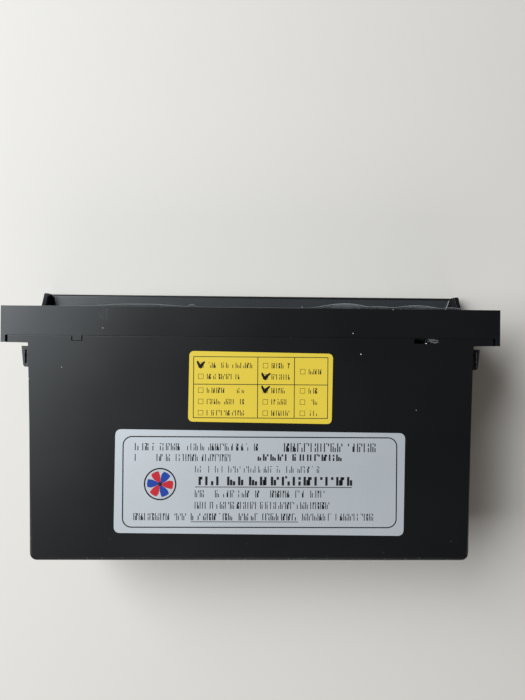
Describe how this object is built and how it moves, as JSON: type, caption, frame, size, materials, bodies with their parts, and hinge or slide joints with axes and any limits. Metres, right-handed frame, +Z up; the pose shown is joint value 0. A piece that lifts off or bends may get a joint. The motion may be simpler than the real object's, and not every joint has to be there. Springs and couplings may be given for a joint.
{
  "type": "panel-mount climate control unit",
  "caption": "Flat black panel-mount control unit for a heater and air conditioner, with a wide bezel, display, push buttons, side clips and rear sockets.",
  "frame": {"origin": "middle of the box that encloses the unit, on its underside", "axes": "+Z up through the label face, -Y out of the front with the display and buttons, +Y to the rear sockets, +X to the right as seen from the front"},
  "size_m": [0.2, 0.117, 0.0501],
  "materials": {
    "case_plastic": "satin moulded black",
    "bezel_plastic": "satin moulded black",
    "fascia_plastic": "fine matt grain",
    "window_tint": "polished smoked acrylic",
    "display_glass": "liquid crystal cell",
    "white_plastic": "white moulded",
    "circuit_board": "solder mask",
    "switch_plastic": "black moulded",
    "lamp_plastic": "clear moulded",
    "screw_steel": "bright zinc",
    "chip_epoxy": "moulded epoxy",
    "relay_plastic": "blue moulded",
    "capacitor_sleeve": "dark sleeve",
    "heat_sink_metal": "extruded",
    "connector_nylon": "natural nylon",
    "contact_metal": "tinned brass",
    "clip_plastic": "satin moulded black",
    "button_plastic": "matt with printed symbols",
    "name_label_film": "silver-white polyester",
    "option_label_film": "yellow vinyl",
    "clear_film": "clear protective film"
  },
  "bodies": {
    "housing": {"case_shell": "case_plastic", "bezel": "bezel_plastic", "fascia_panel": "fascia_plastic", "display_window": "window_tint", "display_glass": "display_glass", "display_frame": "white_plastic", "light_guide": "white_plastic", "front_board": "circuit_board", "main_board": "circuit_board", "tact_switches": "switch_plastic", "board_link": "switch_plastic", "buzzer": "switch_plastic", "indicator_lenses": "lamp_plastic", "indicator_lamps": "lamp_plastic", "front_board_screws": "screw_steel", "fascia_screws": "screw_steel", "main_board_screws": "screw_steel", "clip_pins": "screw_steel", "clip_springs": "screw_steel", "processor": "chip_epoxy", "driver_chips": "chip_epoxy", "power_regulator": "chip_epoxy", "relays": "relay_plastic", "capacitors": "capacitor_sleeve", "heat_sink": "heat_sink_metal", "main_connector": "connector_nylon", "aux_connector": "connector_nylon", "main_pins": "contact_metal", "aux_pins": "contact_metal", "name_label": "name_label_film", "option_label": "option_label_film", "transit_film": "clear_film"},
    "power_button": {"power_button": "button_plastic"},
    "auto_button": {"auto_button": "button_plastic"},
    "fan_up_button": {"fan_up_button": "button_plastic"},
    "fan_down_button": {"fan_down_button": "button_plastic"},
    "warmer_button": {"warmer_button": "button_plastic"},
    "cooler_button": {"cooler_button": "button_plastic"},
    "airflow_button": {"airflow_button": "button_plastic"},
    "recirculate_button": {"recirculate_button": "button_plastic"},
    "cooling_button": {"cooling_button": "button_plastic"},
    "defrost_button": {"defrost_button": "button_plastic"},
    "left_clip": {"left_clip": "clip_plastic"},
    "right_clip": {"right_clip": "clip_plastic"}
  },
  "joints": [
    {"name": "power_press", "type": "slide", "parent": "housing", "child": "power_button", "axis": [0, 1, 0], "range_m": [0, 0.001], "stiffness_N_per_m": 800, "springref_m": -0.0006},
    {"name": "auto_press", "type": "slide", "parent": "housing", "child": "auto_button", "axis": [0, 1, 0], "range_m": [0, 0.001], "stiffness_N_per_m": 800, "springref_m": -0.0006},
    {"name": "fan_up_press", "type": "slide", "parent": "housing", "child": "fan_up_button", "axis": [0, 1, 0], "range_m": [0, 0.001], "stiffness_N_per_m": 800, "springref_m": -0.0006},
    {"name": "fan_down_press", "type": "slide", "parent": "housing", "child": "fan_down_button", "axis": [0, 1, 0], "range_m": [0, 0.001], "stiffness_N_per_m": 800, "springref_m": -0.0006},
    {"name": "warmer_press", "type": "slide", "parent": "housing", "child": "warmer_button", "axis": [0, 1, 0], "range_m": [0, 0.001], "stiffness_N_per_m": 800, "springref_m": -0.0006},
    {"name": "cooler_press", "type": "slide", "parent": "housing", "child": "cooler_button", "axis": [0, 1, 0], "range_m": [0, 0.001], "stiffness_N_per_m": 800, "springref_m": -0.0006},
    {"name": "airflow_press", "type": "slide", "parent": "housing", "child": "airflow_button", "axis": [0, 1, 0], "range_m": [0, 0.001], "stiffness_N_per_m": 800, "springref_m": -0.0006},
    {"name": "recirculate_press", "type": "slide", "parent": "housing", "child": "recirculate_button", "axis": [0, 1, 0], "range_m": [0, 0.001], "stiffness_N_per_m": 800, "springref_m": -0.0006},
    {"name": "cooling_press", "type": "slide", "parent": "housing", "child": "cooling_button", "axis": [0, 1, 0], "range_m": [0, 0.001], "stiffness_N_per_m": 800, "springref_m": -0.0006},
    {"name": "defrost_press", "type": "slide", "parent": "housing", "child": "defrost_button", "axis": [0, 1, 0], "range_m": [0, 0.001], "stiffness_N_per_m": 800, "springref_m": -0.0006},
    {"name": "left_clip_flex", "type": "hinge", "parent": "housing", "child": "left_clip", "pos_m": [-0.0873, -0.0195, 0.0402], "axis": [0, 0, 1], "range_deg": [0, 10], "stiffness_Nm_per_rad": 0.2, "springref_deg": -5.16},
    {"name": "right_clip_flex", "type": "hinge", "parent": "housing", "child": "right_clip", "pos_m": [0.0873, -0.0195, 0.0402], "axis": [0, 0, 1], "range_deg": [-10, 0], "stiffness_Nm_per_rad": 0.2, "springref_deg": 5.16}
  ]
}
